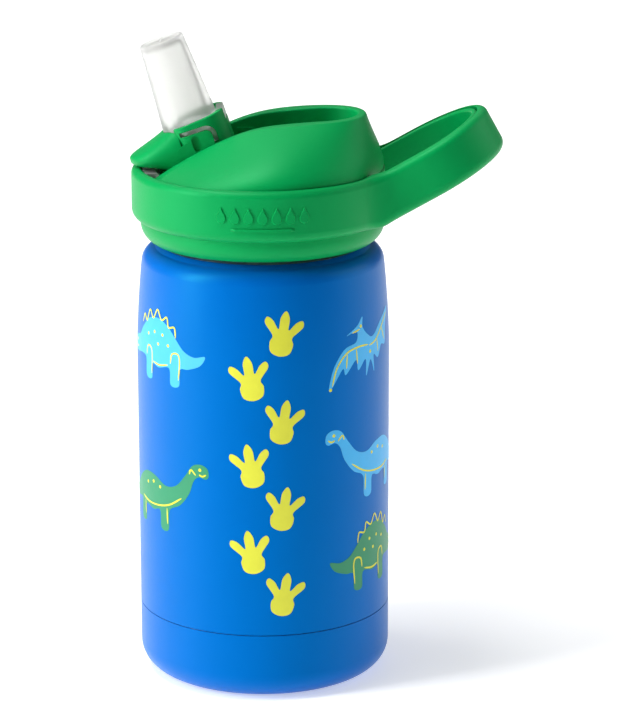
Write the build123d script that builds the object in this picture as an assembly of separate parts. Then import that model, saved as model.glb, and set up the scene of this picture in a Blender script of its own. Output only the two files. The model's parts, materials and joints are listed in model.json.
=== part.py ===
from build123d import *
from math import cos, radians, sin, tan
import os

# Children's insulated drinking bottle with a screw cap, a fixed carry loop and a flip-up straw
# spout. Millimetres. The origin is the centre of the base, +Z is up the bottle's axis, +X points to
# the carry loop and -X to the spout's thumb tab. Everything is symmetric about the XZ plane.

# ---- Driving dimensions -------------------------------------------------------------------------

# Steel bottle
BODY_R = 36.5
STEEL = 0.8
VACUUM_GAP = 2.7
SEAM_Z = 20.0
SEAM_GAP = 0.25
BASE_CORNER_R = 7.7
BASE_RECESS_R = 26.0
BASE_RECESS_DEPTH = 2.0
TAPER_START_Z = 96.0
TAPER_MID = (35.9, 111.0)
TAPER_END = (34.9, 122.6)
SHOULDER_R = 31.0
SHOULDER_Z = 126.6
NECK_R = 28.6
NECK_ROOT_Z = 128.2
LIP_Z = 135.0
VACUUM_FLOOR_Z = 5.4
INNER_FLOOR_Z = 9.0
INNER_WELD_Z = 20.0
INNER_SHOULDER_Z = 116.0

# Screw thread: both threads are the same right-hand helix, half a lead apart
THREAD_LEAD = 4.0
THREAD_TURNS = 1.25
THREAD_ROOT_WIDTH = 1.7
THREAD_CREST_WIDTH = 0.6
THREAD_START_Z = 129.2
NECK_CREST_R = 29.9
CAP_BORE_R = 30.4
CAP_CREST_R = 29.1
THREAD_BITE = 0.4

# Cap core
SKIRT_LOW_R = 32.4
SKIRT_LOW_Z = 129.1
SKIRT_MID = (34.4, 131.3)
CORE_R = 35.0
CORE_WALL = 2.0
CORE_TOP_Z = 143.0
DECK_Z = 136.7
DECK_T = 1.9
STEM_R = 3.3
STEM_BORE_R = 2.2
STEM_LOW_Z = 120.0
VENT_X = 12.0
VENT_HOLE_R = 1.3

# Band and carry loop
BAND_R = 37.5
BAND_BORE_R = 35.2
BAND_LOW_Z = 135.2
BAND_TOP_Z = 150.0
BAND_TOP_EDGE_R = 2.0
BAND_LOW_EDGE_R = 2.8
LOOP_TILT = 29.0
LOOP_PLANE_Z = 132.1
LOOP_HEIGHT = 13.5
LOOP_HALF = 19.4
LOOP_END_X = 43.0
LOOP_END_LENGTH = 23.1
LOOP_WALL = 2.2
LOOP_ROOT_R = 12.0
LOOP_TOP_BEND_R = 26.0
LOOP_LOW_BEND_R = 8.0
LINER_GAP = 0.6
LINER_WALL = 1.6
LINER_DROP = 0.1
LINER_LOW_DROP = 0.5
LINER_EDGE_R = 0.7

# Top shroud: plan outlines from the band up. Each is nose x, cheek (x, y), flank (x, y),
# rear quarter (x, y) and back x, and the outline is mirrored about the XZ plane.
SHROUD_FOOT_Z = 149.2
SHROUD_LEVELS = (
    (152.9, -27.5, (-23.2, 13.2), (1.5, 32.9), (23.6, 24.6), 34.1),
    (157.0, -21.0, (-15.3, 12.6), (5.5, 28.0), (22.9, 21.2), 32.7),
    (161.0, -13.5, (-7.0, 12.3), (9.5, 20.8), (22.5, 16.5), 31.1),
    (165.6, 1.0, (9.0, 10.9), (17.0, 12.1), (24.6, 9.6), 29.4),
)
SHROUD_WALL = 2.0
SHROUD_FOOT_STEP = 0.3
CREST = ((-37.0, 143.5), (-27.6, 150.2), (-17.9, 155.9), (-8.4, 160.4), (-1.0, 162.7),
         (8.0, 163.9), (20.0, 164.7), (32.0, 165.1))
TROUGH_HALF = 9.9
TROUGH_WALL = 1.9
TROUGH_END_X = 27.2
FLOOR_START_X = -8.6
FLOOR_START_Z = 140.3
FLOOR_SLOPE = 12.7
FLOOR_T = 1.5
FRONT_SILL_Z = 146.8
CREST_OUTER_R = 0.9
CREST_INNER_R = 0.6
NUB = (5.0, 1.2, 0.45)
NUB_AT = (-4.8, 158.2)

# Flip spout. Its own frame has the hinge pin on Y through the origin and +Z along the valve.
HINGE_X = -16.3
HINGE_Z = 150.0
SPOUT_LEAN = 18.7
SPOUT_HALF = 9.3
CUP_BACK = 10.5
CUP_FRONT = -5.0
CUP_RIM = 14.9
CUP_RIM_SLOPE = 4.0
CUP_FOOT = 5.2
CUP_CORNER_R = 6.5
CUP_FRONT_CORNER_R = 4.0
CUP_RIM_EDGE_R = 0.4
# Thumb tab, as upright sections across it: distance in front of the hinge, top, half width, underside
TAB_SECTIONS = (
    (-4.0, 14.0, 9.27, 0.0),
    (-8.5, 12.9, 9.25, 2.0),
    (-11.5, 11.7, 8.9, 3.9),
    (-14.5, 10.7, 8.0, 5.2),
    (-17.0, 10.0, 6.3, 6.1),
    (-18.8, 9.5, 3.9, 6.9),
    (-19.7, 8.9, 1.4, 7.6),
)
SLOT_WIDTH = 1.35
SLOT_PATH = ((-3.4, 11.8), (6.1, 11.8), (6.1, 6.6))
SLOT_BEND_R = 2.4
WINDOW = (4.6, 2.3)
WINDOW_AT = (0.4, 8.2)
WINDOW_DEPTH = 0.8
CHEEK_R = 9.6
CHEEK_INNER = 7.7
PIN_R = 2.0
PIN_CLEARANCE = 0.06
PIN_REACH = 1.6

# Bite valve, straw and seals
VALVE_BALL_R = 7.3
VALVE_FLANGE_R = 8.1
VALVE_FLANGE_LOW = 7.0
VALVE_FLANGE_TOP = 13.4
VALVE_FLANGE_BACK = 8.4
VALVE_FLANGE_CORNER_R = 5.3
VALVE_FLANGE_GAP = 0.15
VALVE_TIP_R = 6.4
VALVE_TOP = 38.3
VALVE_WALL = 1.3
VALVE_TIP_T = 2.2
VALVE_TIP_EDGE_R = 0.9
VALVE_SLIT = (7.0, 0.35)
VALVE_EAR = (1.9, 8.4)
VALVE_EAR_GAP = 0.25
SEAT_R = 6.0
SEAT_BELOW_HINGE = 6.1
SEAT_GAP = 0.2
STRAW_R = 4.3
STRAW_BORE_R = 3.4
STRAW_TOP_Z = 133.0
STRAW_LOW_Z = 13.0
GASKET_R = (26.6, 28.9)
PAD_R = (31.0, 32.8)
PAD_LIP_R = 34.4
PAD_LIP_Z = 147.1
PAD_TOP_Z = 149.4

# ---- Derived values -----------------------------------------------------------------------------

DECK_TOP_Z = DECK_Z + DECK_T
INNER_R = BODY_R - STEEL - VACUUM_GAP
NECK_BORE_R = NECK_R - 2 * STEEL
SPOUT_PLACE = Location((HINGE_X, 0, HINGE_Z), (0, -SPOUT_LEAN, 0))
LOOP_PLANE = Plane(
    origin=(0, 0, LOOP_PLANE_Z),
    x_dir=(cos(radians(LOOP_TILT)), 0, sin(radians(LOOP_TILT))),
    z_dir=(-sin(radians(LOOP_TILT)), 0, cos(radians(LOOP_TILT))),
)
LOOP_END_U = LOOP_END_X / cos(radians(LOOP_TILT))
TALL = 200.0


# ---- Helpers ------------------------------------------------------------------------------------

def turned(*edges):
    """A solid turned about the bottle's axis from a closed outline of (r, z) edges."""
    return revolve(Plane.XZ * make_face(Wire(list(edges))), Axis.Z)


def turned_polygon(*points):
    """A solid turned about the bottle's axis from straight-sided (r, z) points."""
    return revolve(Plane.XZ * make_face(Polyline(*points, close=True)), Axis.Z)


def disc(radius, low, high, x=0.0):
    """An upright cylinder between two heights."""
    return Pos(x, 0, low) * extrude(Circle(radius), high - low)


def slab(low, high, half):
    """A block between two (x, z) corners, from -half to half in Y."""
    size = (high[0] - low[0], 2 * half, high[1] - low[1])
    return Pos((low[0] + high[0]) / 2, 0, (low[1] + high[1]) / 2) * Box(*size)


def across(face, half):
    """A face drawn in (x, z) made solid from -half to half in Y."""
    return Pos(0, half, 0) * extrude(Plane.XZ * face, 2 * half)


# ---- Steel bottle -------------------------------------------------------------------------------

def thread_ridge(root_r, crest_r, start_z, turns):
    """A helical ridge of trapezoid section from root_r to crest_r, starting on +X at start_z."""
    helix = Pos(0, 0, start_z) * Helix(THREAD_LEAD, THREAD_LEAD * turns, root_r)
    half_root = THREAD_ROOT_WIDTH / 2
    half_crest = THREAD_CREST_WIDTH / 2
    section = Plane.XZ * make_face(Polyline(
        (root_r, start_z - half_root),
        (crest_r, start_z - half_crest),
        (crest_r, start_z + half_crest),
        (root_r, start_z + half_root),
        close=True,
    ))
    return sweep(section, path=helix, is_frenet=True)


def outer_wall_outline(inset):
    """The outer shell's (r, z) outline from the seam to the neck, moved inward by inset."""
    foot = (BODY_R - inset, SEAM_Z + SEAM_GAP)
    taper = (BODY_R - inset, TAPER_START_Z)
    mid = (TAPER_MID[0] - inset, TAPER_MID[1])
    corner = (TAPER_END[0] - inset, TAPER_END[1])
    shoulder = (SHOULDER_R, SHOULDER_Z - inset)
    neck = (NECK_R - inset, NECK_ROOT_Z)
    straight = Line(foot, taper)
    bend = Spline(taper, mid, corner, tangents=((0, 1), (-0.11, 1)))
    round_over = TangentArc(corner, shoulder, tangent=bend % 1)
    sweep_up = Line(shoulder, neck)
    return [straight, bend, round_over, sweep_up], foot, neck


def outer_shell():
    """The painted outer wall, its shoulder and the threaded neck."""
    outside, foot, neck = outer_wall_outline(0.0)
    inside, inner_foot, inner_neck = outer_wall_outline(STEEL)
    rise = Line(neck, (NECK_R, LIP_Z))
    lip = Line((NECK_R, LIP_Z), (NECK_R - STEEL, LIP_Z))
    drop = Line((NECK_R - STEEL, LIP_Z), inner_neck)
    shell = turned(*outside, rise, lip, drop, *inside, Line(inner_foot, foot))
    ridge = thread_ridge(NECK_R - THREAD_BITE, NECK_CREST_R, THREAD_START_Z, THREAD_TURNS)
    return shell + ridge


def cup(radius, floor_z, rim_z, corner_r, thickness):
    """A round thin-walled cup with a flat floor and a rounded lower corner."""
    outside = [
        Line((0, floor_z), (radius - corner_r, floor_z)),
        JernArc((radius - corner_r, floor_z), (1, 0), corner_r, 90),
        Line((radius, floor_z + corner_r), (radius, rim_z)),
    ]
    bore_r = radius - thickness
    inner_corner = corner_r - thickness
    inside = [
        Line((radius, rim_z), (bore_r, rim_z)),
        Line((bore_r, rim_z), (bore_r, floor_z + corner_r)),
        JernArc((bore_r, floor_z + corner_r), (0, -1), inner_corner, -90),
        Line((bore_r - inner_corner, floor_z + thickness), (0, floor_z + thickness)),
        Line((0, floor_z + thickness), (0, floor_z)),
    ]
    return turned(*outside, *inside)


def base_cup():
    """The painted cup under the seam, with a raised centre so that it stands on a ring."""
    blank = cup(BODY_R, 0, SEAM_Z, BASE_CORNER_R, STEEL)
    recess = disc(BASE_RECESS_R, -1, BASE_RECESS_DEPTH)
    raised = disc(BASE_RECESS_R + STEEL, 0, BASE_RECESS_DEPTH + STEEL)
    return blank + raised - recess


def inner_vessel():
    """The bare steel wall that holds the drink, from its bottom weld up to the lip."""
    wall = INNER_R
    bore = INNER_R - STEEL
    neck_out = NECK_BORE_R + STEEL
    step = wall - neck_out
    return turned_polygon(
        (wall, INNER_WELD_Z), (wall, INNER_SHOULDER_Z), (neck_out, INNER_SHOULDER_Z + step),
        (neck_out, LIP_Z), (NECK_BORE_R, LIP_Z), (NECK_BORE_R, INNER_SHOULDER_Z + step - 0.3),
        (bore, INNER_SHOULDER_Z - 0.3), (bore, INNER_WELD_Z),
    )


def vacuum_seal_drop():
    """The drop of sealing resin over the pinch hole in the vacuum bottom."""
    return disc(4.0, VACUUM_FLOOR_Z - 1.6, VACUUM_FLOOR_Z)


def getter_pellet():
    """The pellet in the vacuum gap that soaks up stray gas."""
    return disc(3.5, VACUUM_FLOOR_Z + STEEL, VACUUM_FLOOR_Z + STEEL + 1.6, x=16.0)


# ---- Cap core, seals and straw ------------------------------------------------------------------

def cap_core():
    """The threaded collar, its deck, the side wall under the band and the straw stem."""
    curve = ThreePointArc((SKIRT_LOW_R, SKIRT_LOW_Z), SKIRT_MID, (CORE_R, BAND_LOW_Z - 0.7))
    inner_wall = CORE_R - CORE_WALL
    body = turned(
        curve,
        Line(curve @ 1, (CORE_R, CORE_TOP_Z)),
        Line((CORE_R, CORE_TOP_Z), (inner_wall, CORE_TOP_Z)),
        Line((inner_wall, CORE_TOP_Z), (inner_wall, DECK_TOP_Z)),
        Line((inner_wall, DECK_TOP_Z), (0, DECK_TOP_Z)),
        Line((0, DECK_TOP_Z), (0, DECK_Z)),
        Line((0, DECK_Z), (CAP_BORE_R, DECK_Z)),
        Line((CAP_BORE_R, DECK_Z), (CAP_BORE_R, SKIRT_LOW_Z)),
        Line((CAP_BORE_R, SKIRT_LOW_Z), (SKIRT_LOW_R, SKIRT_LOW_Z)),
    )
    ridge = thread_ridge(
        CAP_BORE_R + THREAD_BITE, CAP_CREST_R, THREAD_START_Z + THREAD_LEAD / 2, THREAD_TURNS - 0.25
    )
    stem = disc(STEM_R, STEM_LOW_Z, DECK_Z, x=HINGE_X)
    bore = disc(STEM_BORE_R, STEM_LOW_Z - 1, DECK_TOP_Z + 1, x=HINGE_X)
    vent = disc(VENT_HOLE_R, DECK_Z - 1, DECK_TOP_Z + 1, x=VENT_X)
    return body + ridge + stem - bore - vent


def lip_gasket():
    """The silicone ring between the bottle's lip and the cap's deck."""
    inner, outer = GASKET_R
    ring = disc(outer, LIP_Z, DECK_Z) - disc(inner, LIP_Z - 1, DECK_Z + 1)
    return ring


def port_seat():
    """The silicone seat in which the bite valve's ball turns to open or shut the straw."""
    blank = disc(SEAT_R, DECK_TOP_Z, HINGE_Z - SEAT_BELOW_HINGE, x=HINGE_X)
    socket = Pos(HINGE_X, 0, HINGE_Z) * Sphere(VALVE_BALL_R + SEAT_GAP)
    passage = disc(STEM_BORE_R, DECK_TOP_Z - 1, HINGE_Z, x=HINGE_X)
    return blank - socket - passage


def drinking_straw():
    """The straight straw, pushed onto the stem and cut at a slant at its foot."""
    tube = disc(STRAW_R, STRAW_LOW_Z, STRAW_TOP_Z, x=HINGE_X)
    bore = disc(STRAW_BORE_R, STRAW_LOW_Z - 1, STRAW_TOP_Z + 1, x=HINGE_X)
    slant = Pos(HINGE_X, 0, STRAW_LOW_Z) * Rot(0, 35, 0) * Pos(0, 0, -10) * Box(60, 40, 20)
    return tube - bore - slant


def vent_valve():
    """The silicone umbrella that lets air in through the deck as the drink goes out."""
    umbrella = disc(3.6, DECK_Z - 0.8, DECK_Z, x=VENT_X)
    stalk = disc(VENT_HOLE_R - 0.4, DECK_Z, DECK_TOP_Z, x=VENT_X)
    bead = disc(VENT_HOLE_R + 0.6, DECK_TOP_Z, DECK_TOP_Z + 1.2, x=VENT_X)
    return umbrella + stalk + bead


def front_seal_pad():
    """The pale silicone strip in the recess under the spout's tab, with a lip over the sill."""
    inner, outer = PAD_R
    ring = disc(outer, DECK_TOP_Z, PAD_TOP_Z) + disc(PAD_LIP_R, PAD_LIP_Z, PAD_TOP_Z)
    ring = ring - disc(inner, DECK_TOP_Z - 1, PAD_TOP_Z + 1)
    return ring & slab((-PAD_LIP_R - 1, DECK_TOP_Z), (-inner + 3, PAD_TOP_Z), TROUGH_HALF - 0.2)


# ---- Band and carry loop ------------------------------------------------------------------------

def loop_bend(offset_down, x_level, z_level, bend_r):
    """Where the level band edge bends up into the loop: the arc and its two ends, in (x, z)."""
    slope = tan(radians(LOOP_TILT))
    bend_x = (z_level + offset_down / cos(radians(LOOP_TILT)) - LOOP_PLANE_Z) / slope
    reach = bend_r * tan(radians(LOOP_TILT / 2))
    start = (bend_x - reach, z_level)
    arc = JernArc(start, (1, 0), bend_r, LOOP_TILT)
    return Line((x_level, z_level), start), arc


def loop_side_profile():
    """The band and the straight part of the loop seen from the side."""
    top_line, top_arc = loop_bend(0, -TALL / 2, BAND_TOP_Z, LOOP_TOP_BEND_R)
    low_line, low_arc = loop_bend(LOOP_HEIGHT, -TALL / 2, BAND_LOW_Z, LOOP_LOW_BEND_R)
    top_end = LOOP_PLANE.from_local_coords((LOOP_END_U, 0, 0))
    low_end = LOOP_PLANE.from_local_coords((LOOP_END_U, 0, -LOOP_HEIGHT))
    top = (top_end.X, top_end.Z)
    low = (low_end.X, low_end.Z)
    outline = Wire([
        top_line, top_arc, Line(top_arc @ 1, top), Line(top, low), Line(low, low_arc @ 1),
        low_arc, low_line, Line(low_line @ 0, top_line @ 0),
    ])
    return across(make_face(outline), TALL / 2)


def loop_end(inset, depth):
    """The loop's rounded end, moved inward by inset and extruded down from the loop's top plane."""
    ellipse = Pos(LOOP_END_U, 0) * Ellipse(LOOP_END_LENGTH - inset, LOOP_HALF - inset)
    half = ellipse & Pos(LOOP_END_U + TALL / 2, 0) * Rectangle(TALL, TALL)
    return LOOP_PLANE * extrude(half, -depth)


def loop_space(inset, top, depth):
    """The straight and rounded inside of the loop, out from the band, as one block."""
    ellipse = Pos(LOOP_END_U, 0) * Ellipse(LOOP_END_LENGTH - inset, LOOP_HALF - inset)
    straight = Pos(LOOP_END_U / 2, 0) * Rectangle(LOOP_END_U, 2 * (LOOP_HALF - inset))
    block = LOOP_PLANE * Pos(0, 0, top) * extrude(ellipse + straight, -depth)
    return block - disc(BAND_BORE_R, 0, TALL)


def rim_edges(solid, upward):
    """The edges between a solid's flat top (or bottom) faces and its side walls."""
    tilt = 0.5 if upward else -0.5
    chosen = []
    for face in solid.faces():
        level = face.normal_at().Z
        is_cap = level > tilt if upward else level < tilt
        chosen.append((face, is_cap))
    cap_edges = [edge for face, is_cap in chosen if is_cap for edge in face.edges()]
    side_edges = [edge for face, is_cap in chosen if not is_cap for edge in face.edges()]
    return ShapeList(e for e in cap_edges if any(e.is_same(s) for s in side_edges))


def carry_loop():
    """The band round the cap and the carry loop that grows out of it, as one moulding."""
    plan = Circle(BAND_R) + Pos(TALL / 4, 0) * Rectangle(TALL / 2, 2 * LOOP_HALF)
    root = plan.vertices().filter_by(lambda v: abs(v.X) < TALL / 4)
    plan = fillet(root, LOOP_ROOT_R)
    band = extrude(plan, TALL) & loop_side_profile()
    whole = band + loop_end(0, LOOP_HEIGHT)
    whole = fillet(rim_edges(whole, True), BAND_TOP_EDGE_R)
    whole = fillet(rim_edges(whole, False), BAND_LOW_EDGE_R)
    bore = disc(BAND_BORE_R, 0, TALL)
    return whole - bore - loop_space(LOOP_WALL, 20, 60)


def loop_liner():
    """The inner lining of the carry loop, set into its inside face."""
    outer = LOOP_WALL + LINER_GAP
    blank = loop_space(outer, -LINER_DROP, LOOP_HEIGHT - LINER_DROP - LINER_LOW_DROP)
    blank = blank - disc(BAND_BORE_R + LINER_GAP, 0, TALL)
    blank = blank - disc(TALL, 0, BAND_LOW_Z + LINER_LOW_DROP)
    liner = blank - loop_space(outer + LINER_WALL, 20, 60)
    return fillet(rim_edges(liner, True).filter_by(lambda edge: edge.center().X > BAND_R), LINER_EDGE_R)


# ---- Top shroud ---------------------------------------------------------------------------------

def shroud_outline(z, nose, cheek, flank, rear, back, inset=0.0):
    """One level plan outline of the shroud, moved inward by inset."""
    half = [(back, 0), rear, flank, cheek, (nose, 0)]
    points = []
    for x, y in half:
        length = (x * x + y * y) ** 0.5
        keep = 1 - inset / length if length > inset else 0.1
        points.append((x * keep, y * keep))
    mirrored = [(x, -y) for x, y in reversed(points[1:-1])]
    return Pos(0, 0, z) * make_face(Spline(*points, *mirrored, periodic=True))


def shroud_foot_level(radius):
    """The shroud's lowest outline, a circle written in the same terms as the levels above it."""
    def at(angle):
        return (radius * cos(radians(angle)), radius * sin(radians(angle)))
    return (-radius, at(157), at(88), at(46), radius)


def shroud_hill(inset):
    """The smooth hill from the band up, before it is trimmed to its crest."""
    foot_level = shroud_foot_level(CORE_R - inset - SHROUD_FOOT_STEP)
    foot = shroud_outline(SHROUD_FOOT_Z - inset, *foot_level)
    levels = [shroud_outline(z - inset, *rest, inset=inset) for z, *rest in SHROUD_LEVELS]
    return loft([foot, *levels])


def below_crest():
    """Everything under the crest line, which rises from the front and runs level to the back."""
    crest = Spline(*CREST)
    start, end = CREST[0], CREST[-1]
    floor = DECK_TOP_Z
    outline = Wire([
        crest, Line(end, (TALL / 2, end[1])), Line((TALL / 2, end[1]), (TALL / 2, floor)),
        Line((TALL / 2, floor), (start[0], floor)), Line((start[0], floor), start),
    ])
    return across(make_face(outline), TALL / 2)


def trough_plan(half, end_x):
    """The trough's plan: open to the front, with a half-round back end."""
    centre = end_x - half
    straight = Pos(centre - TALL / 4, 0) * Rectangle(TALL / 2, 2 * half)
    return straight + Pos(centre, 0) * Circle(half)


def above_floor(lift):
    """Everything above the trough's sloping floor, raised by lift, and all of the hinge bay."""
    slope = tan(radians(FLOOR_SLOPE))
    start_z = FLOOR_START_Z + lift
    outline = Polyline(
        (-TALL / 2, 0), (FLOOR_START_X - lift, 0), (FLOOR_START_X - lift, start_z),
        (FLOOR_START_X + TALL / 2, start_z + slope * TALL / 2),
        (FLOOR_START_X + TALL / 2, TALL), (-TALL / 2, TALL), close=True,
    )
    return across(make_face(outline), TALL / 2)


def trough_void():
    """The space the closed spout lies in, with a sloping floor and an open hinge bay in front."""
    space = extrude(trough_plan(TROUGH_HALF, TROUGH_END_X), TALL) & above_floor(0)
    front_wall = disc(TALL / 2, 0, FRONT_SILL_Z) - disc(CORE_R - SHROUD_WALL, -1, TALL)
    return space - front_wall


def under_floor():
    """The hollow below the trough's floor."""
    plan = trough_plan(TROUGH_HALF, TROUGH_END_X)
    return extrude(plan, TALL) - above_floor(-FLOOR_T)


def detent_nub(side):
    """The small bump on the trough's wall that the folded spout clicks past."""
    length, height, proud = NUB
    x, z = NUB_AT
    return Pos(x, side * (TROUGH_HALF + 1 - proud), z) * Box(length, 2.0, height)


def crest_edges(shell, shortest, longest):
    """The shell's edges that lie on the crest surface behind the cheeks, within a length range."""
    crest_face = below_crest().faces().filter_by(GeomType.PLANE, reverse=True)[0]
    behind = shell.edges().filter_by(lambda edge: shortest < edge.length < longest)
    behind = behind.filter_by(lambda edge: edge.center().X > CREST[2][0])
    stations = (0.0, 0.3, 0.5, 0.8, 1.0)
    return behind.filter_by(lambda edge: all(crest_face.distance_to(edge @ t) < 0.01 for t in stations))


def round_crest(shell):
    """The shell with the outer and then the inner edge of its crest rounded over."""
    shell = fillet(crest_edges(shell, 100, 200), CREST_OUTER_R)
    return fillet(crest_edges(shell, 25, 60), CREST_INNER_R)


def top_shroud():
    """The domed cover over the cap, with the trough and the two hinge holes in its walls."""
    skirt = disc(CORE_R, CORE_TOP_Z + 0.1, SHROUD_FOOT_Z)
    outside = (skirt + shroud_hill(0.0) & disc(CORE_R, 0, TALL)) & below_crest()
    hollow = disc(CORE_R - SHROUD_WALL, 0, SHROUD_FOOT_Z - SHROUD_WALL) + shroud_hill(SHROUD_WALL)
    wall_plan = trough_plan(TROUGH_HALF + TROUGH_WALL, TROUGH_END_X + TROUGH_WALL)
    inside_core = disc(CORE_R - SHROUD_WALL - 0.2, DECK_TOP_Z + 0.1, CORE_TOP_Z + 0.2)
    walls = extrude(wall_plan, TALL) & (outside + inside_core)
    nubs = detent_nub(-1) + detent_nub(1)
    hole_length = 2 * (SPOUT_HALF + PIN_REACH + 0.4)
    pin_hole = Rot(90, 0, 0) * Cylinder(PIN_R + PIN_CLEARANCE, hole_length)
    pin_hole = Pos(HINGE_X, 0, HINGE_Z) * pin_hole
    crown = round_crest(outside - trough_void())
    shell = crown - (hollow - walls) - under_floor()
    return shell + (walls & inside_core - under_floor() - trough_void()) + nubs - pin_hole


# ---- Flip spout and bite valve ------------------------------------------------------------------

def tab_section(front, top, half, under):
    """One upright section across the thumb tab: nearly flat on top with well rounded edges."""
    rise = top - under
    side = [
        (0.5 * half, top - 0.03 * rise),
        (0.8 * half, top - 0.14 * rise),
        (0.97 * half, top - 0.36 * rise),
        (half, under + 0.36 * rise),
        (0.88 * half, under + 0.07 * rise),
        (0.5 * half, under),
    ]
    mirrored = [(-y, z) for y, z in reversed(side)]
    outline = Spline((0, top), *side, (0, under), *mirrored, periodic=True)
    return Plane.YZ.offset(front) * make_face(outline)


def thumb_tab():
    """The crowned tongue that a thumb pushes to open the spout."""
    return loft([tab_section(*section) for section in TAB_SECTIONS])


def cup_block():
    """The cup before it is bored: flat sides, round corners and hinge cheeks below."""
    length = CUP_BACK - CUP_FRONT
    plan = Pos((CUP_BACK + CUP_FRONT) / 2, 0) * Rectangle(length, 2 * SPOUT_HALF)
    plan = fillet(plan.vertices().group_by(Axis.X)[-1], CUP_CORNER_R)
    plan = fillet(plan.vertices().group_by(Axis.X)[0], CUP_FRONT_CORNER_R)
    above_rim = Pos(CUP_BACK, 0, CUP_RIM) * Rot(0, -CUP_RIM_SLOPE, 0) * Pos(0, 0, 10) * Box(60, 60, 20)
    block = extrude(plan, CUP_RIM + 1) - above_rim
    block = fillet(block.faces().sort_by(Axis.Z)[-1].edges(), CUP_RIM_EDGE_R)
    return block + Rot(90, 0, 0) * Cylinder(CHEEK_R, 2 * SPOUT_HALF)


def flange_block(gap, height):
    """The valve's flange, round in front and square-backed to key into the cup, larger by a gap."""
    radius = VALVE_FLANGE_R + gap
    back = VALVE_FLANGE_BACK + gap
    key = Pos(back / 2, 0) * Rectangle(back, 2 * radius)
    key = fillet(key.vertices().group_by(Axis.X)[-1], VALVE_FLANGE_CORNER_R)
    return Pos(0, 0, VALVE_FLANGE_LOW) * extrude(Circle(radius) + key, height)


def ear_block(gap):
    """The block of the bite valve's ear at the back of the cup, larger all round by a gap."""
    length, width = VALVE_EAR
    back = CUP_BACK - VALVE_EAR_GAP + gap
    front = back - length - 2 * gap
    low = VALVE_FLANGE_TOP - 2 - gap
    size = (back - front, width + 2 * gap, CUP_RIM - low)
    return Pos((front + back) / 2, 0, (low + CUP_RIM) / 2) * Box(*size)


def snap_slot():
    """The hooked slot through both cup walls that frees a springy tongue, and its blind window."""
    path = FilletPolyline(*SLOT_PATH, radius=SLOT_BEND_R)
    through = across(trace(path, SLOT_WIDTH), 40)
    length, width = WINDOW
    window = Pos(*WINDOW_AT) * SlotOverall(length, width, rotation=90)
    window = across(window, 40) - Box(60, 2 * (SPOUT_HALF - WINDOW_DEPTH), 60)
    return through - Box(60, 2 * (SPOUT_HALF - 2.4), 60) + window


def flip_spout():
    """The hinged cup with its thumb tab, snap tongues and hinge pins."""
    block = cup_block() + thumb_tab()
    mouth = flange_block(VALVE_FLANGE_GAP, 20)
    throat = extrude(Circle(VALVE_BALL_R + 0.3), 30)
    bay = Rot(90, 0, 0) * Cylinder(VALVE_BALL_R + 1.0, 2 * CHEEK_INNER)
    under = Pos(0, 0, CUP_FOOT - 20) * Box(60, 2 * CHEEK_INNER, 40)
    front_keep = Pos(-30 - VALVE_BALL_R - 1.0, 0, 0) * Box(60, 60, 60)
    ear_notch = ear_block(VALVE_EAR_GAP) + Pos(0, 0, 2) * ear_block(VALVE_EAR_GAP)
    pins = Rot(90, 0, 0) * Cylinder(PIN_R, 2 * (SPOUT_HALF + PIN_REACH))
    pins = pins - Box(20, 2 * CHEEK_INNER, 20)
    hollow = mouth + throat + bay + (under - front_keep) + ear_notch
    return block - hollow - snap_slot() + pins


def bite_valve():
    """The soft mouthpiece: a ball that turns in its seat, a keyed flange and a tapered, slit tube."""
    waist_r = VALVE_BALL_R - 0.5
    waist_low = (VALVE_BALL_R ** 2 - waist_r ** 2) ** 0.5
    ball = Sphere(VALVE_BALL_R) - Pos(0, 0, 15 + waist_low) * Box(30, 30, 30)
    tube = turned_polygon(
        (0, 0), (waist_r, 0), (waist_r, VALVE_FLANGE_TOP - 1), (VALVE_FLANGE_R, VALVE_FLANGE_TOP - 1),
        (VALVE_FLANGE_R, VALVE_FLANGE_TOP), (VALVE_TIP_R, VALVE_TOP), (0, VALVE_TOP),
    )
    tip = tube.edges().group_by(Axis.Z)[-1]
    tube = fillet(tip, VALVE_TIP_EDGE_R)
    flange = flange_block(0, VALVE_FLANGE_TOP - VALVE_FLANGE_LOW)
    inner_r = waist_r - VALVE_WALL
    bore = turned_polygon(
        (0, -20), (STEM_BORE_R, -20), (STEM_BORE_R, 4), (inner_r, 8), (inner_r, VALVE_FLANGE_TOP),
        (VALVE_TIP_R - VALVE_WALL, VALVE_TOP - VALVE_TIP_T), (0, VALVE_TOP - VALVE_TIP_T),
    )
    length, width = VALVE_SLIT
    slits = Pos(0, 0, VALVE_TOP) * (Box(length, width, 10) + Box(width, length, 10))
    return ball + tube + flange + ear_block(0) - bore - slits


# ---- Parts --------------------------------------------------------------------------------------

PARTS = {
    "outer_shell": outer_shell(),
    "base_cup": base_cup(),
    "vacuum_bottom": cup(BODY_R - STEEL - 0.1, VACUUM_FLOOR_Z, SEAM_Z + 6, BASE_CORNER_R, STEEL),
    "vacuum_seal_drop": vacuum_seal_drop(),
    "getter_pellet": getter_pellet(),
    "inner_vessel": inner_vessel(),
    "inner_bottom": cup(INNER_R, INNER_FLOOR_Z, INNER_WELD_Z - 0.05, 6.0, STEEL),
    "cap_core": cap_core(),
    "lip_gasket": lip_gasket(),
    "port_seat": port_seat(),
    "drinking_straw": drinking_straw(),
    "vent_valve": vent_valve(),
    "front_seal_pad": front_seal_pad(),
    "carry_loop": carry_loop(),
    "loop_liner": loop_liner(),
    "top_shroud": top_shroud(),
    "flip_spout": SPOUT_PLACE * flip_spout(),
    "bite_valve": SPOUT_PLACE * bite_valve(),
}

os.makedirs("parts", exist_ok=True)
for name, shape in PARTS.items():
    export_step(shape, f"parts/{name}.step")
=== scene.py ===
import json
from math import cos, pi, radians, sin

import bpy
import numpy as np
from mathutils import Matrix, Vector
from mathutils.geometry import delaunay_2d_cdt


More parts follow.
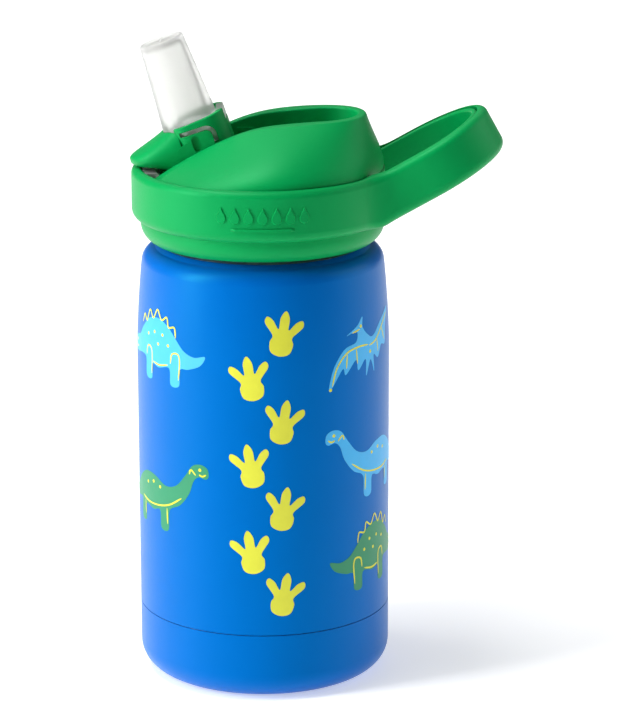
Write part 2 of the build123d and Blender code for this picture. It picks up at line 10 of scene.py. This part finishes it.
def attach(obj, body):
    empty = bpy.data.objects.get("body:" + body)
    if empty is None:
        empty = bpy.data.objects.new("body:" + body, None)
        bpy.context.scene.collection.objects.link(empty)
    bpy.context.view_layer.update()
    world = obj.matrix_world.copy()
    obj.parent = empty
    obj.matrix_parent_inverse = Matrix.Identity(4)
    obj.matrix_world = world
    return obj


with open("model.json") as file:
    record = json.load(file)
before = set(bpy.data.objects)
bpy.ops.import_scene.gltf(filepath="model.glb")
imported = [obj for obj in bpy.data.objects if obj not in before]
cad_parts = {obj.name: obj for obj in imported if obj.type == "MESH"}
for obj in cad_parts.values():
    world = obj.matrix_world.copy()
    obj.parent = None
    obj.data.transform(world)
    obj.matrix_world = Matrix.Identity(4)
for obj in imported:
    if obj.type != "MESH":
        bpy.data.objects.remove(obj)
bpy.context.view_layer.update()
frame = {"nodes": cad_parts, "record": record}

# The looks of a children's insulated bottle: paint, moulded plastic, silicone and steel, the figures
# printed on the body, and the raised motif on the band. Metres, in the CAD model's own frame.
# Figures are drawn in millimetres as (along, up) and then laid on the round wall.

MM = 0.001

# ---- Driving dimensions -------------------------------------------------------------------------

# The paint stops here, and the neck above it is bare steel.
PAINT_END_Z = 127.6 * MM

# The prints: how far the film and the lines drawn on it stand out, and, in millimetres, the grid of
# points that lets the film follow the wall, the line width and the dot radius.
PRINT_LIFT = 0.04 * MM
LINE_LIFT = 0.07 * MM
PRINT_GRID = 1.6
LINE_WIDTH = 0.5
DOT_RADIUS = 0.5
DOT_SIDES = 12
CURVE_STEPS = 7
LINE_END_SHARE = 0.35
LINE_TAPER_STEP = 0.25
FILL_TOLERANCE = 1e-4

# A node's point belongs to its outer wall when its level's radius is over this share of the widest.
WALL_SHARE = 0.9
LEVEL_DIGITS = 5

# The raised motif: its height, how deep its foot is set into the wall, and its crown's share of its foot.
EMBOSS_LIFT = 0.4 * MM
EMBOSS_SINK = 0.15 * MM
EMBOSS_INSET = 0.82

# Camera angles in degrees, distances in metres, lens and sensor in millimetres.
CAMERA_ELEVATION = 15.6
CAMERA_DISTANCE = 1.014
CAMERA_AIM_Z = 0.0906
CAMERA_ROLL = -0.32
CAMERA_PAN = 0.854
CAMERA_LENS = 172.6
CAMERA_SENSOR = 36.0
CAMERA_NEAR = 0.05
CAMERA_FAR = 50.0

# The floor's half side in metres, its glow, and the surround's strength.
FLOOR_HALF = 6.0
FLOOR_GLOW = 0.45
WORLD_STRENGTH = 0.12

# Area lights: name, place, the point that it faces, size, all in metres, and power in watts.
# Most of them face one point on the bottle's axis, below the shoulder.
LIGHT_AIM = (0, 0, 0.12)
LIGHTS = (
    ("key", (-1.06, -0.38, 0.58), LIGHT_AIM, (0.35, 1.0), 16.0),
    ("fill", (1.09, 0.15, 0.51), LIGHT_AIM, (0.9, 1.1), 4.0),
    ("top", (-0.35, 0.0, 1.15), LIGHT_AIM, (0.6, 0.4), 8.0),
    ("background", (0, 1.6, 1.4), (0, 2.4, 0), (2.0, 1.0), 20.0),
)

# Sockets of the colour Mix node, by number, because its names repeat for each data type.
MIX_FACTOR, MIX_A, MIX_B = 0, 6, 7
MIX_RESULT = 2

# ---- Colours, linear ----------------------------------------------------------------------------

BLUE = (0.0, 0.122, 0.515)
GREEN = (0.0, 0.310, 0.072)
SILICONE = (0.98, 0.98, 0.955)
STEEL = (0.60, 0.60, 0.61)
RESIN = (0.42, 0.30, 0.12)
GETTER = (0.22, 0.22, 0.24)
INK_SKY = (0.035, 0.46, 0.90)
INK_LEAF = (0.01, 0.26, 0.11)
INK_YELLOW = (0.72, 0.73, 0.03)
CLEAR = (0.93, 0.95, 0.95)
FLOOR_GREY = (0.92, 0.92, 0.92)
BLUE_GLOSS = (0.0, 1.0, 0.65)
GREEN_GLOSS = (0.2, 1.0, 0.5)
WHITE = (1.0, 1.0, 1.0)

# ---- Printed figures, in millimetres ------------------------------------------------------------

PLATED_BODY = (
    (-18, -2.5), (-15.5, -0.5), (-12, 0.5), (-9, 3.5), (-4.5, 6.8), (0.5, 7.6), (5, 6), (8.5, 2.8),
    (11.5, 0), (15, -1.2), (18.6, -0.6), (17, -3.4), (13, -5), (10, -5.6), (9.6, -10.4), (6.3, -10.6),
    (5.7, -5.9), (1, -6.6), (-2.4, -6.2), (-2.8, -10.5), (-6.2, -10.4), (-6.6, -5.2), (-10, -4.6),
    (-14, -5.2), (-17.6, -4.8),
)
PLATED_LINES = (
    ((-9.5, 4.5), (-8.2, 7.2), (-6.4, 5.6), (-4.6, 9.2), (-2.4, 7.2), (-0.3, 10), (1.9, 7.4), (4.3, 8.6),
     (5.2, 5.9), (7.6, 6.2), (8.2, 3.3)),
    ((6.3, -4.4), (6.9, -1.6), (9.2, -1.2), (9.9, -3.4), (9.4, -8.8)),
    ((-6, -4.2), (-5.2, -1.4), (-3, -1.8), (-2.6, -4.6), (-2.9, -9.2)),
    ((-2, -5.4), (1.4, -5.8), (5.2, -5)),
    ((-16.9, -3.4), (-15.4, -4), (-14, -3.7)),
)
PLATED_SPOTS = ((-1.4, 3.4), (2.6, 3.2), (-5, 2.2), (0.6, 0.2), (5.2, 0.6), (-15.2, -1.9))

LONG_BODY = (
    (-22, 8.2), (-21.6, 10.4), (-19.4, 11.4), (-16.6, 10.6), (-14, 7.2), (-10.5, 3.6), (-6, 2.6), (-1, 4.4),
    (4.5, 4.6), (9.5, 2.2), (14, -1.4), (19, -3.4), (24, -3.2), (19.4, -5.6), (13.4, -5.4), (9.4, -5),
    (9, -10.4), (5.6, -10.5), (5.2, -5.6), (0.4, -6), (-3.2, -5.4), (-3.8, -10.5), (-7.2, -10.4),
    (-7.8, -4.4), (-12, -2), (-15.4, 2), (-17, 6), (-18.8, 7.6), (-21, 7.2),
)
LONG_LINES = (
    ((-17.8, 8), (-16.2, 9.4), (-15.6, 8)),
    ((-21.2, 8.6), (-20, 8), (-18.9, 8.4)),
    ((-12.6, 0.2), (-8, -2.6), (-3, -4), (3, -4.4), (8, -3.6)),
    ((5.8, -8.8), (6, -4.6)),
    ((-6.8, -8.8), (-6.6, -4)),
)
LONG_SPOTS = ((-19.2, 9.8), (-3.4, 1.6), (0.2, 2.4), (3.8, 1.4))

WINGED_BODY = (
    (-15, -9.5), (-13.6, -3), (-9.6, 2), (-5, 3.4), (-4.6, 6.4), (-8.6, 5.8), (-4.2, 8), (-1.8, 10.2),
    (-1.9, 7.2), (0.4, 4.6), (3.2, 3.6), (8.4, 6.8), (15.5, 9.5), (12.6, 4.4), (11.6, -0.6), (8.4, -0.2),
    (6, -3.4), (3.4, -2), (3.6, -7), (1.6, -3), (-0.6, -7.4), (-0.9, -2.4), (-4.2, -5), (-5.2, -1.8),
    (-9.2, -5.4), (-10.4, -3.6),
)
WINGED_LINES = (
    ((-14, -8), (-12.4, -3), (-8.8, 0.8), (-4, 1.8), (0.4, 1.6)),
    ((-8.6, 0.6), (-9, -3.6)),
    ((-5, 1.4), (-4.6, -3)),
    ((1, 1.2), (4.6, 2), (9, 5), (14, 8)),
    ((5.4, 2.4), (6, -1.6)),
    ((9, 4.8), (10.8, 0.8)),
    ((-3.2, 6.8), (-6.4, 6.2)),
)
WINGED_SPOTS = ((-2.7, 7.6), (-14.6, -9), (1.4, -0.6))

SHAPES = {
    "plated": (PLATED_BODY, PLATED_LINES, PLATED_SPOTS),
    "long_neck": (LONG_BODY, LONG_LINES, LONG_SPOTS),
    "winged": (WINGED_BODY, WINGED_LINES, WINGED_SPOTS),
}

FOOTPRINT = (
    (0, -6), (-2.7, -5), (-3.4, -2.3), (-2.9, -0.3), (-5.6, 2.9), (-5.2, 4.7), (-3.4, 3.9), (-1.5, 1.7),
    (-1.3, 5), (0, 7), (1.3, 5), (1.5, 1.7), (3.4, 3.9), (5.2, 4.7), (5.6, 2.9), (2.9, -0.3), (3.4, -2.3),
    (2.7, -5),
)
DROP = ((0, -2.4), (1.1, -1.95), (1.5, -0.8), (1.15, 0.5), (0.5, 1.6), (0, 2.7),
        (-0.5, 1.6), (-1.15, 0.5), (-1.5, -0.8), (-1.1, -1.95))

# Each figure: shape, angle round from the front in degrees, height, facing (1 as drawn, -1 mirrored), ink.
FIGURES = (
    ("plated", -56.0, 102.4, 1, "sky"),
    ("long_neck", -60.0, 58.6, -1, "leaf"),
    ("winged", 54.0, 100.6, 1, "sky"),
    ("long_neck", 63.0, 68.2, 1, "sky"),
    ("plated", 60.0, 40.8, -1, "leaf"),
    ("winged", -125.0, 84.0, -1, "leaf"),
    ("plated", -118.0, 34.5, 1, "sky"),
    ("long_neck", 128.0, 95.0, -1, "leaf"),
    ("winged", 122.0, 47.0, 1, "sky"),
    ("plated", 180.0, 66.0, 1, "leaf"),
    ("long_neck", 176.0, 34.0, -1, "sky"),
    ("winged", 184.0, 98.0, 1, "sky"),
)

# The trail of footprints goes up the front, left and right of a line just off the middle.
FOOTPRINTS = 7
FOOTPRINT_LOW_Z = 32.0
FOOTPRINT_STEP = 12.8
FOOTPRINT_SIDE = 4.6
FOOTPRINT_CENTRE = 0.9
FOOTPRINT_TURN = 10.0

# The motif on the band: a row of drops, and a bar (length, height) so far below their middles.
EMBOSS_Z = 143.2
EMBOSS_DROPS = 7
EMBOSS_STEP = 3.9
EMBOSS_BAR = (19.0, 0.9)
EMBOSS_BAR_DROP = 3.9


# ---- Material helpers ---------------------------------------------------------------------------

def new_material(name):
    """A node material and its Principled shader."""
    material = bpy.data.materials.new(name)
    material.use_nodes = True
    return material, material.node_tree.nodes["Principled BSDF"]


def add(material, kind, **settings):
    """A node of that kind with its settings made."""
    node = material.node_tree.nodes.new(kind)
    for key, value in settings.items():
        setattr(node, key, value)
    return node


def set_sockets(shader, values):
    """The shader's own sockets set to plain values."""
    for name, value in values.items():
        shader.inputs[name].default_value = value


def join(material, source, target):
    """A link between two sockets."""
    material.node_tree.links.new(source, target)


def grain(material, scale, detail=3.0, stretch=(1.0, 1.0, 1.0)):
    """Noise in the object's own space, with so many cells to the metre; returns its factor socket."""
    place = add(material, "ShaderNodeTexCoord")
    mapping = add(material, "ShaderNodeMapping")
    mapping.inputs["Scale"].default_value = stretch
    noise = add(material, "ShaderNodeTexNoise")
    noise.inputs["Scale"].default_value = scale
    noise.inputs["Detail"].default_value = detail
    join(material, place.outputs["Object"], mapping.inputs["Vector"])
    join(material, mapping.outputs["Vector"], noise.inputs["Vector"])
    return noise.outputs["Fac"]


def spread(material, factor, low, high):
    """A factor mapped onto a range."""
    node = add(material, "ShaderNodeMapRange")
    node.inputs["To Min"].default_value = low
    node.inputs["To Max"].default_value = high
    join(material, factor, node.inputs["Value"])
    return node.outputs["Result"]


def mottled(material, colour, depth, scale):
    """The colour, a little lighter and darker from place to place."""
    mix = add(material, "ShaderNodeMix", data_type="RGBA", blend_type="MIX")
    darker = [c * (1 - depth) for c in colour]
    lighter = [min(1.0, c * (1 + depth)) for c in colour]
    mix.inputs[MIX_A].default_value = (*darker, 1)
    mix.inputs[MIX_B].default_value = (*lighter, 1)
    join(material, grain(material, scale), mix.inputs[MIX_FACTOR])
    return mix.outputs[MIX_RESULT]


def colour_surface(material, shader, colour, depth, scale):
    """The shader's colour, mottled."""
    join(material, mottled(material, colour, depth, scale), shader.inputs["Base Color"])


def rough_surface(material, shader, factor, low, high):
    """The shader's roughness, spread over a range by a factor."""
    join(material, spread(material, factor, low, high), shader.inputs["Roughness"])


def relief(material, shader, factor, depth):
    """A bump of that depth in metres from a factor."""
    bump = add(material, "ShaderNodeBump")
    bump.inputs["Strength"].default_value = 1.0
    bump.inputs["Distance"].default_value = depth
    join(material, factor, bump.inputs["Height"])
    join(material, bump.outputs["Normal"], shader.inputs["Normal"])


def steel_share(material):
    """1 above the paint's edge on the neck, 0 below it."""
    place = add(material, "ShaderNodeTexCoord")
    split = add(material, "ShaderNodeSeparateXYZ")
    edge = add(material, "ShaderNodeMath", operation="GREATER_THAN")
    edge.inputs[1].default_value = PAINT_END_Z
    join(material, place.outputs["Object"], split.inputs["Vector"])
    join(material, split.outputs["Z"], edge.inputs[0])
    return edge.outputs["Value"]


# ---- Materials ----------------------------------------------------------------------------------

def powder_coat():
    """Satin blue powder coat, which stops at the neck and leaves its thread bare."""
    material, shader = new_material("blue_powder_coat")
    bare = steel_share(material)
    paint = mottled(material, BLUE, depth=0.035, scale=60.0)
    mix = add(material, "ShaderNodeMix", data_type="RGBA")
    join(material, bare, mix.inputs[MIX_FACTOR])
    join(material, paint, mix.inputs[MIX_A])
    mix.inputs[MIX_B].default_value = (*STEEL, 1)
    join(material, mix.outputs[MIX_RESULT], shader.inputs["Base Color"])
    join(material, bare, shader.inputs["Metallic"])
    rough_surface(material, shader, grain(material, scale=900.0), low=0.32, high=0.40)
    set_sockets(shader, {"Specular IOR Level": 0.3, "Specular Tint": (*BLUE_GLOSS, 1)})
    relief(material, shader, grain(material, scale=1100.0, detail=2.0), depth=0.012 * MM)
    return material


def moulded_green():
    """Green polypropylene with a fine spark-eroded mould grain."""
    material, shader = new_material("green_plastic")
    colour_surface(material, shader, GREEN, depth=0.03, scale=90.0)
    rough_surface(material, shader, grain(material, scale=2500.0), low=0.36, high=0.52)
    set_sockets(shader, {
        "Specular IOR Level": 0.36,
        "Specular Tint": (*GREEN_GLOSS, 1),
        "Subsurface Weight": 0.06,
        "Subsurface Radius": (1 * MM, 2 * MM, 1 * MM),
    })
    relief(material, shader, grain(material, scale=3200.0, detail=4.0), depth=0.03 * MM)
    return material


def frosted_silicone():
    """Milky silicone that lets some light through and scatters the rest."""
    material, shader = new_material("clear_silicone")
    colour_surface(material, shader, SILICONE, depth=0.04, scale=120.0)
    rough_surface(material, shader, grain(material, scale=1500.0), low=0.3, high=0.42)
    set_sockets(shader, {"IOR": 1.2, "Transmission Weight": 0.8})
    relief(material, shader, grain(material, scale=1800.0), depth=0.015 * MM)
    return material


def clear_tube():
    """The straw's clear moulded plastic."""
    material, shader = new_material("clear_straw")
    colour_surface(material, shader, CLEAR, depth=0.02, scale=80.0)
    rough_surface(material, shader, grain(material, scale=700.0), low=0.08, high=0.18)
    set_sockets(shader, {"IOR": 1.49, "Transmission Weight": 0.9})
    return material


def brushed_steel():
    """Stainless steel with fine lines round the bottle's axis."""
    material, shader = new_material("bare_steel")
    lines = grain(material, scale=900.0, stretch=(0.05, 0.05, 3.0))
    colour_surface(material, shader, STEEL, depth=0.05, scale=70.0)
    set_sockets(shader, {"Metallic": 1.0})
    rough_surface(material, shader, lines, low=0.22, high=0.42)
    relief(material, shader, lines, depth=0.02 * MM)
    return material


def plain_solid(name, colour, roughness, metallic=0.0):
    """A simple rough solid with a fine uneven surface."""
    material, shader = new_material(name)
    colour_surface(material, shader, colour, depth=0.12, scale=900.0)
    set_sockets(shader, {"Roughness": roughness, "Metallic": metallic})
    relief(material, shader, grain(material, scale=2500.0), depth=0.05 * MM)
    return material


def ink(name, colour):
    """Printed ink, which follows the satin of the paint below it."""
    material, shader = new_material(name)
    colour_surface(material, shader, colour, depth=0.05, scale=400.0)
    rough_surface(material, shader, grain(material, scale=1200.0), low=0.36, high=0.5)
    relief(material, shader, grain(material, scale=1500.0), depth=0.008 * MM)
    return material


MATERIALS = {
    "blue_powder_coat": powder_coat(),
    "green_plastic": moulded_green(),
    "clear_silicone": frosted_silicone(),
    "clear_straw": clear_tube(),
    "bare_steel": brushed_steel(),
    "sealing_resin": plain_solid("sealing_resin", RESIN, roughness=0.3),
    "getter_metal": plain_solid("getter_metal", GETTER, roughness=0.7, metallic=0.8),
}
INKS = {
    "sky": ink("ink_sky", INK_SKY),
    "leaf": ink("ink_leaf", INK_LEAF),
    "yellow": ink("ink_yellow", INK_YELLOW),
}


def dress_nodes():
    """Each CAD node gets the material of its own slot in the record."""
    for part in frame["record"]["subparts"]:
        mesh = frame["nodes"][part["node"]].data
        mesh.materials.clear()
        mesh.materials.append(MATERIALS[part["material_slot"]])


# ---- Laying flat figures on the round wall ------------------------------------------------------

def wall_profile(node):
    """The heights and outer radii of a node's own points, on its round side away from the loop."""
    points = [v.co for v in frame["nodes"][node].data.vertices if v.co.x < 0]
    outer = {}
    for p in points:
        level = round(p.z, LEVEL_DIGITS)
        outer[level] = max(outer.get(level, 0.0), (p.x ** 2 + p.y ** 2) ** 0.5)
    radius = max(outer.values())
    kept = sorted((z, r) for z, r in outer.items() if r > WALL_SHARE * radius)
    return [z for z, r in kept], [r for z, r in kept]


class Wall:
    """A round wall that flat (along, up) points in millimetres are laid on."""

    def __init__(self, node):
        self.heights, self.radii = wall_profile(node)
        self.radius = max(self.radii)

    def at(self, along, up, lift):
        """The point on the wall, so far along its arc from the front line and so high."""
        angle = along * MM / self.radius
        r = float(np.interp(up * MM, self.heights, self.radii)) + lift
        return Vector((r * sin(angle), -r * cos(angle), up * MM))


def smooth(points, closed):
    """A Catmull-Rom curve through the points."""
    count = len(points)
    spans = count if closed else count - 1
    out = []
    for i in range(spans):
        if closed:
            a, b, c, d = (Vector(points[(i + k) % count]) for k in (-1, 0, 1, 2))
        else:
            a, b, c, d = (Vector(points[min(max(i + k, 0), count - 1)]) for k in (-1, 0, 1, 2))
        for step in range(CURVE_STEPS):
            t = step / CURVE_STEPS
            out.append(0.5 * ((2 * b) + (c - a) * t + (2 * a - 5 * b + 4 * c - d) * t ** 2
                              + (3 * b - a - 3 * c + d) * t ** 3))
    if not closed:
        out.append(Vector(points[-1]))
    return out


def placed(points, centre, facing=1, turn=0.0):
    """Figure points mirrored, turned and moved to their place on the flat wall."""
    c, s = cos(turn), sin(turn)
    moved = []
    for x, y in points:
        x *= facing
        moved.append((centre[0] + x * c - y * s, centre[1] + x * s + y * c))
    return moved


def inside(point, outline):
    """Is a flat point inside a closed outline?"""
    x, y = point
    hit = False
    for (ax, ay), (bx, by) in zip(outline, outline[1:] + outline[:1]):
        if (ay > y) != (by > y) and x < (bx - ax) * (y - ay) / (by - ay) + ax:
            hit = not hit
    return hit


def filled(outline):
    """Points and triangles that fill a closed outline, fine enough to follow the wall's curve."""
    xs = [p[0] for p in outline]
    ys = [p[1] for p in outline]
    points = [Vector(p) for p in outline]
    for x in np.arange(min(xs), max(xs), PRINT_GRID):
        for y in np.arange(min(ys), max(ys), PRINT_GRID):
            if inside((x, y), outline):
                points.append(Vector((x, y)))
    ring = list(range(len(outline)))
    points, _, faces, *_ = delaunay_2d_cdt(points, [], [ring], 1, FILL_TOLERANCE)
    return points, faces


def new_piece(name, points, faces, material, body):
    """A shaded mesh piece that rides on a body."""
    mesh = bpy.data.meshes.new(name)
    mesh.from_pydata([tuple(p) for p in points], [], [list(f) for f in faces])
    mesh.validate()
    mesh.shade_smooth()
    mesh.materials.append(material)
    piece = bpy.data.objects.new(name, mesh)
    bpy.context.scene.collection.objects.link(piece)
    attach(piece, body)
    return piece


def merge(parts):
    """Several (points, faces) as one."""
    points, faces = [], []
    for more_points, more_faces in parts:
        start = len(points)
        points += more_points
        faces += [[i + start for i in face] for face in more_faces]
    return points, faces


def print_shape(wall, outline, lift):
    """A closed flat outline laid on the wall as a film, facing outward."""
    flat, faces = filled(outline)
    return [wall.at(p[0], p[1], lift) for p in flat], faces


def print_line(wall, path, width, lift):
    """An open flat path laid on the wall as a ribbon that narrows at both ends."""
    points, faces = [], []
    last = len(path) - 1
    for i, here in enumerate(path):
        along = (path[min(i + 1, last)] - path[max(i - 1, 0)]).normalized()
        taper = min(1.0, LINE_END_SHARE + LINE_TAPER_STEP * min(i, last - i))
        side = Vector((-along.y, along.x)) * width / 2 * taper
        for p in (here + side, here - side):
            points.append(wall.at(p[0], p[1], lift))
        if i:
            k = 2 * i
            faces.append((k - 2, k - 1, k + 1, k))
    return points, faces


def dot(centre):
    """A round dot's outline."""
    angles = [2 * pi * k / DOT_SIDES for k in range(DOT_SIDES)]
    return [(centre[0] + DOT_RADIUS * cos(a), centre[1] + DOT_RADIUS * sin(a)) for a in angles]


def print_figures(wall):
    """The animals round the body: a filled shape each, with thin drawn lines and dots on top."""
    for number, (shape, angle, height, facing, colour) in enumerate(FIGURES):
        body, lines, spots = SHAPES[shape]
        centre = (radians(angle) * wall.radius / MM, height)
        outline = [tuple(p) for p in smooth(placed(body, centre, facing), True)]
        points, faces = print_shape(wall, outline, PRINT_LIFT)
        name = f"print_{shape}_{number + 1}"
        piece = new_piece(name, points, faces, INKS[colour], "bottle")
        drawn = [print_line(wall, smooth(placed(line, centre, facing), False), LINE_WIDTH, LINE_LIFT)
                 for line in lines]
        dots = [print_shape(wall, dot(p), LINE_LIFT) for p in placed(spots, centre, facing)]
        points, faces = merge(drawn + dots)
        piece = new_piece(f"{name}_lines", points, faces, INKS["yellow"], "bottle")


def print_footprints(wall):
    """A trail of three-toed footprints up the front."""
    prints = []
    for number in range(FOOTPRINTS):
        side = -1 if number % 2 else 1
        centre = (FOOTPRINT_CENTRE + side * FOOTPRINT_SIDE, FOOTPRINT_LOW_Z + number * FOOTPRINT_STEP)
        outline = placed(FOOTPRINT, centre, 1, -side * radians(FOOTPRINT_TURN))
        prints.append(print_shape(wall, [tuple(p) for p in smooth(outline, True)], PRINT_LIFT))
    points, faces = merge(prints)
    piece = new_piece("print_footprints", points, faces, INKS["yellow"], "bottle")


def raised_shape(wall, outline, centre):
    """A closed flat outline raised from the wall with a sloped edge."""
    crown = [(centre[0] + (x - centre[0]) * EMBOSS_INSET, centre[1] + (y - centre[1]) * EMBOSS_INSET)
             for x, y in outline]
    top, top_faces = print_shape(wall, crown, EMBOSS_LIFT)
    count = len(outline)
    sides = [wall.at(x, y, -EMBOSS_SINK) for x, y in outline]
    sides += [wall.at(x, y, EMBOSS_LIFT) for x, y in crown]
    side_faces = [(i, (i + 1) % count, (i + 1) % count + count, i + count) for i in range(count)]
    return merge([(top, top_faces), (sides, side_faces)])


def raised_motif(wall):
    """The row of raised drops on the band, with a bar below them."""
    shapes = []
    for number in range(EMBOSS_DROPS):
        centre = ((number - (EMBOSS_DROPS - 1) / 2) * EMBOSS_STEP, EMBOSS_Z)
        outline = [tuple(p) for p in smooth(placed(DROP, centre), True)]
        shapes.append(raised_shape(wall, outline, centre))
    length, height = EMBOSS_BAR
    steps = int(length)
    low = [(k * length / steps - length / 2, -height / 2) for k in range(steps + 1)]
    high = [(x, -y) for x, y in reversed(low)]
    bar_centre = (0, EMBOSS_Z - EMBOSS_BAR_DROP)
    shapes.append(raised_shape(wall, placed(low + high, bar_centre), bar_centre))
    points, faces = merge(shapes)
    piece = new_piece("band_motif", points, faces, MATERIALS["green_plastic"], "cap")


# ---- Stage, lights and camera -------------------------------------------------------------------

def floor():
    """A plain pale floor under the bottle."""
    mesh = bpy.data.meshes.new("floor")
    corners = [(x * FLOOR_HALF, y * FLOOR_HALF, 0) for x, y in ((-1, -1), (1, -1), (1, 1), (-1, 1))]
    mesh.from_pydata(corners, [], [(0, 1, 2, 3)])
    material, shader = new_material("floor")
    set_sockets(shader, {
        "Base Color": (*FLOOR_GREY, 1),
        "Roughness": 0.7,
        "Emission Color": (*WHITE, 1),
        "Emission Strength": FLOOR_GLOW,
    })
    mesh.materials.append(material)
    plane = bpy.data.objects.new("floor", mesh)
    bpy.context.scene.collection.objects.link(plane)


def softbox(name, place, aim, size, power):
    """A rectangular area light that faces a point."""
    light = bpy.data.lights.new(name, "AREA")
    light.shape = "RECTANGLE"
    light.size, light.size_y = size
    light.energy = power
    lamp = bpy.data.objects.new(name, light)
    lamp.location = place
    lamp.rotation_mode = "QUATERNION"
    lamp.rotation_quaternion = (Vector(aim) - Vector(place)).to_track_quat("-Z", "Y")
    bpy.context.scene.collection.objects.link(lamp)


def studio():
    """A tall key from the left, weaker light from the right and above, and a lit background."""
    for name, place, aim, size, power in LIGHTS:
        softbox(name, place, aim, size, power)
    world = bpy.data.worlds.new("surround")
    world.use_nodes = True
    set_sockets(world.node_tree.nodes["Background"], {"Color": (*WHITE, 1), "Strength": WORLD_STRENGTH})
    bpy.context.scene.world = world


def camera():
    """The camera in front of the bottle, a little above it."""
    data = bpy.data.cameras.new("camera")
    data.lens = CAMERA_LENS
    data.sensor_width = CAMERA_SENSOR
    data.clip_start = CAMERA_NEAR
    data.clip_end = CAMERA_FAR
    elevation = radians(CAMERA_ELEVATION)
    back = Vector((0, -cos(elevation), sin(elevation)))
    item = bpy.data.objects.new("camera", data)
    item.matrix_world = (
        Matrix.Translation(Vector((0, 0, CAMERA_AIM_Z)) + back * CAMERA_DISTANCE)
        @ Matrix.Rotation(pi / 2 - elevation, 4, "X")
        @ Matrix.Rotation(-radians(CAMERA_PAN), 4, "Y")
        @ Matrix.Rotation(radians(CAMERA_ROLL), 4, "Z")
    )
    bpy.context.scene.collection.objects.link(item)
    bpy.context.scene.camera = item


# ---- The scene ----------------------------------------------------------------------------------

bpy.context.scene.view_settings.view_transform = "Standard"
dress_nodes()
body_wall = Wall("outer_shell")
print_figures(body_wall)
print_footprints(body_wall)
raised_motif(Wall("carry_loop"))
floor()
studio()
camera()
